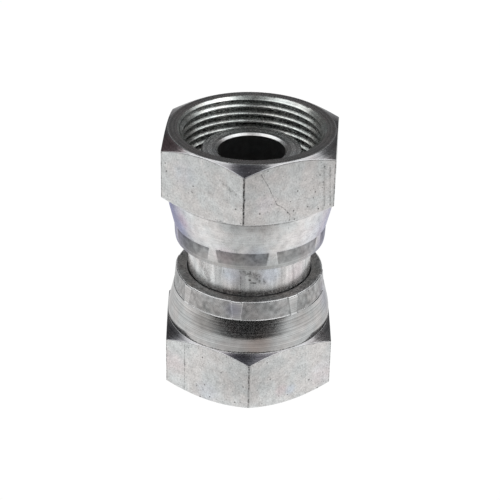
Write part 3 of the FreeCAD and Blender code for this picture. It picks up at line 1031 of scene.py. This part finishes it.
BODY_LOOK = like(
    SPIGOT_LOOK,
    colour="spigot", rough=0.28, grain=0.9, smears=1.2, dirt=0.4,
    rings=((21.6, 1.3, 0.7),),
    strokes=(
        (on_body((-6, 26.2), (8, 25.2), (13, 24.0)), 1.6, 0.6),
        (on_body((-50, 26.0), (-40, 23.0)), 1.4, 0.4),
        (on_body((-7.3, 25.1), (-7.6, 21.4)), 0.16, 0.8),
        (on_body((-23.5, 26.6), (-23.5, 25.3)), 0.16, 0.7),
        (on_body((0, 24.5), (1.5, 24.5)), 0.36, 1.2),
        (on_body((2, 23.9), (6, 23.9)), 0.28, 1.2),
    ),
    spots=(
        (on_body((-15.5, 25.2))[0], 2.8, 0.5, BLUE),
        (on_body((19.0, 25.2))[0], 3.0, 0.5, BLUE),
        (on_body((50.0, 24.0))[0], 3.4, 0.4, PINK),
    ),
)


def nut_finishes(prefix, colours, differences):
    """The materials of one nut, by region. The differences say how a region looks on this nut."""
    return {
        region: metal_finish(f"{prefix}_{region}", colours, like(look, **differences.get(region, {})))
        for region, look in NUT_LOOKS.items()
    }


# Operators


class CONNECTOR_OT_nuts(bpy.types.Operator):
    """Makes both swivel nuts, with threads and press marks"""

    bl_idname = "connector.nuts"
    bl_label = "Make the nuts"

    def execute(self, context):
        nut = context.scene.connector_nut
        lie = context.scene.connector_lie
        colours = context.scene.connector_colours
        lower = swivel_nut(
            "lower_nut_dressed", nut, lie.lower_corner, lie.lower_jaw, lie.lower_unmarked,
            lambda points: points, nut_finishes("lower_nut", colours, LOWER_LOOKS),
        )
        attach(lower, "lower_nut_body")
        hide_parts("lower_nut")
        # The half turn about X takes an angle round the axis to its negative
        upper = swivel_nut(
            "upper_nut_dressed", nut, -lie.upper_corner, -lie.upper_jaw, lie.upper_unmarked,
            turned_over, nut_finishes("upper_nut", colours, UPPER_LOOKS),
        )
        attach(upper, "upper_nut_body")
        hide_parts("upper_nut")
        return {"FINISHED"}


class CONNECTOR_OT_spigot(bpy.types.Operator):
    """Makes the turned spigot that carries both nuts"""

    bl_idname = "connector.spigot"
    bl_label = "Make the spigot"

    def execute(self, context):
        colours = context.scene.connector_colours
        materials = {
            "bore": metal_finish("spigot_bore", colours, BORE_LOOK),
            "rim": metal_finish("spigot_rim", colours, SPIGOT_LOOK),
            "nose": metal_finish("spigot_nose", colours, NOSE_LOOK),
            "body": metal_finish("spigot_body_finish", colours, BODY_LOOK),
        }
        piece = turned_spigot("spigot_dressed", context.scene.connector_spigot, materials)
        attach(piece, "spigot_body")
        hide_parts("spigot")
        return {"FINISHED"}


class CONNECTOR_OT_o_rings(bpy.types.Operator):
    """Gives the O-rings their black rubber"""

    bl_idname = "connector.o_rings"
    bl_label = "Finish the O-rings"

    def execute(self, context):
        rubber = rubber_finish("o_ring_rubber", context.scene.connector_colours)
        for name in ("lower_o_ring", "upper_o_ring"):
            ring = frame["nodes"][name]
            ring.data.materials.clear()
            ring.data.materials.append(rubber)
        return {"FINISHED"}


class CONNECTOR_OT_stage(bpy.types.Operator):
    """Sets the camera, the pale floor and the soft light"""

    bl_idname = "connector.stage"
    bl_label = "Set the stage"

    def execute(self, context):
        stage = context.scene.connector_stage
        set_camera(context, stage)
        set_floor(stage)
        set_shade_sheet(stage)
        set_world(context, stage)
        for name, bounds in SOFTBOXES.items():
            add_softbox(context, name, stage, *bounds)
        return {"FINISHED"}


# Stage


SENSOR_WIDTH = 36.0
CLIP_START = 10 * MM
# Heights of the floor and of the sheet of painted shade on it, just below the connector's foot
FLOOR_HEIGHT = -0.01 * MM
SHADE_SHEET_HEIGHT = -0.004 * MM
FLOOR_START = 5 * MM
# Cosine of the angle from the front where the sheet's painted shade close by begins
SHADE_SPREAD = 0.64
BLACK = (0.0, 0.0, 0.0)
WHITE = (1.0, 1.0, 1.0)
# Colour of the sheet of painted shade
SHADE_BLACK = (0.01, 0.01, 0.01)
# The studio goes over from its dark to its dim side between these shares of +Y
STUDIO_EDGE = (-0.5, 0.3)
# Softboxes overhead: left, right, front and back bound, as shares of their height
SOFTBOXES = {
    "softbox_left": (-1.3, -0.18, -0.9, 0.66),
    "softbox_right": (0.16, 1.3, -0.9, 0.66),
    "softbox_front": (-0.18, 0.16, -0.9, -0.5),
}


def set_camera(context, stage):
    """A camera that looks along +Y and down at the aim, rolled about its line of sight."""
    lens = bpy.data.cameras.new("camera")
    lens.lens = stage.focal_length
    lens.sensor_width = SENSOR_WIDTH
    lens.clip_start = CLIP_START
    camera = bpy.data.objects.new("camera", lens)
    aim = Vector((stage.aim_across, 0, stage.aim_height))
    back = Vector((0, -math.cos(stage.elevation), math.sin(stage.elevation)))
    tilt = Matrix.Rotation(math.pi / 2 - stage.elevation, 4, "X")
    roll = Matrix.Rotation(stage.roll, 4, "Z")
    camera.matrix_world = Matrix.Translation(aim + stage.distance * back) @ tilt @ roll
    context.scene.collection.objects.link(camera)
    context.scene.camera = camera
    context.scene.view_settings.view_transform = "Standard"


def set_floor(stage):
    """A white floor: rings of growing radius, with a painted shadow that makes it dark under the connector's
    mouth.
    """
    radius = np.concatenate([[0.0], np.geomspace(FLOOR_START, stage.floor_radius, FLOOR_RINGS)])[:, None]
    turn = np.linspace(0, TAU, FLOOR_COLUMNS, endpoint=False)
    points = ring_points(radius, FLOOR_HEIGHT, turn)
    finish = Finish("white_floor")
    # lit is 0 in the painted shadow under the mouth and 1 beyond it
    lit = finish.ramp(finish.radius(), stage.painted_shadow_radius, stage.painted_shadow_radius + stage.painted_shadow_fade)
    glow = {"Emission Color": finish.mix(lit, BLACK, WHITE), "Emission Strength": stage.floor_glow}
    finish.set_sockets({"Base Color": finish.paint(BLACK), "Specular IOR Level": 0.0, **glow})
    floor = new_piece("floor", points, np.zeros(FLOOR_RINGS), [finish.material], {}, closed=True)


def set_shade_sheet(stage):
    """A sheet of painted shade that lies in front, out of the camera's sight, and darkens the reflections
    there.

    Close by it takes a share of the floor's light, which fades with the cosine of the angle from the
    front. Beyond a straight edge it takes all of it.
    """
    radius = np.geomspace(stage.shade_start, stage.floor_radius, SHADE_SHEET_RINGS)[:, None]
    turn = np.linspace(-TAU / 4, TAU / 4, SHADE_SHEET_COLUMNS)
    points = ring_points(radius, SHADE_SHEET_HEIGHT, turn)
    finish = Finish("painted_shade_sheet")
    forward = 0 - finish.axes(finish.place)[1]
    cosine = finish.math("DIVIDE", forward, finish.radius())
    near = finish.ramp(cosine, SHADE_SPREAD, 1.0) * stage.shade_near
    far = finish.ramp(forward, stage.shade_edge, stage.shade_edge + stage.shade_fade)
    alpha = finish.math("MAXIMUM", near, far)
    finish.set_sockets({"Base Color": finish.paint(SHADE_BLACK), "Specular IOR Level": 0.0, "Alpha": alpha})
    shade_sheet = new_piece("painted_shade_sheet", points, np.zeros(SHADE_SHEET_RINGS - 1), [finish.material], {}, closed=False)
    shade_sheet.visible_camera = False


def set_world(context, stage):
    """A dark studio, dim behind the connector and pale where the camera sees it."""
    world = bpy.data.worlds.new("studio")
    world.use_nodes = True
    context.scene.world = world
    tree = Tree(world.node_tree)
    direction = tree.wire("ShaderNodeTexCoord", output="Generated")
    backwards = tree.ramp(tree.axes(direction)[1], *STUDIO_EDGE)
    dim = tree.nodes["Background"]
    tree.feed(dim.inputs["Color"], tree.mix(backwards, stage.studio_front, stage.studio_back))
    pale = tree.wire("ShaderNodeBackground", None, {"Color": tree.paint(stage.backdrop)})
    seen = tree.wire("ShaderNodeLightPath", output="Is Camera Ray")
    shown = tree.wire("ShaderNodeMixShader", None, {0: seen, 1: Wire(tree, dim.outputs[0]), 2: pale})
    tree.feed(tree.nodes["World Output"].inputs["Surface"], shown)


def add_softbox(context, name, stage, left, right, front, back):
    """A level softbox overhead, between four bounds given as shares of its height.

    Its power is its brightness times pi times its area.
    """
    high = stage.softbox_height
    box = bpy.data.lights.new(name, "AREA")
    box.shape = "RECTANGLE"
    box.size = (right - left) * high
    box.size_y = (back - front) * high
    box.energy = stage.softbox * math.pi * box.size * box.size_y
    light = bpy.data.objects.new(name, box)
    light.location = ((left + right) / 2 * high, (front + back) / 2 * high, high)
    light.visible_camera = False
    context.scene.collection.objects.link(light)


# Panel and registration


class CONNECTOR_PT_panel(bpy.types.Panel):
    """Lists the pieces and the stage"""

    bl_idname = "CONNECTOR_PT_panel"
    bl_label = "Straight hydraulic connector"
    bl_space_type = "VIEW_3D"
    bl_region_type = "UI"
    bl_category = "Connector"

    def draw(self, context):
        for operator in OPERATORS:
            self.layout.operator(operator.bl_idname)


OPERATORS = (CONNECTOR_OT_nuts, CONNECTOR_OT_spigot, CONNECTOR_OT_o_rings, CONNECTOR_OT_stage)
GROUPS = {
    "connector_nut": NutSizes,
    "connector_lie": NutLie,
    "connector_spigot": SpigotSizes,
    "connector_colours": FinishColours,
    "connector_stage": StageSettings,
}


def register():
    """Registers the property groups, the operators and the panel."""
    for name, group in GROUPS.items():
        bpy.utils.register_class(group)
        setattr(bpy.types.Scene, name, PointerProperty(type=group))
    for operator in OPERATORS:
        bpy.utils.register_class(operator)
    bpy.utils.register_class(CONNECTOR_PT_panel)


def unregister():
    """Takes away what register added."""
    bpy.utils.unregister_class(CONNECTOR_PT_panel)
    for operator in reversed(OPERATORS):
        bpy.utils.unregister_class(operator)
    for name, group in reversed(GROUPS.items()):
        delattr(bpy.types.Scene, name)
        bpy.utils.unregister_class(group)


def main():
    """Builds the whole scene."""
    register()
    bpy.ops.connector.nuts()
    bpy.ops.connector.spigot()
    bpy.ops.connector.o_rings()
    bpy.ops.connector.stage()


if __name__ == "__main__":
    main()
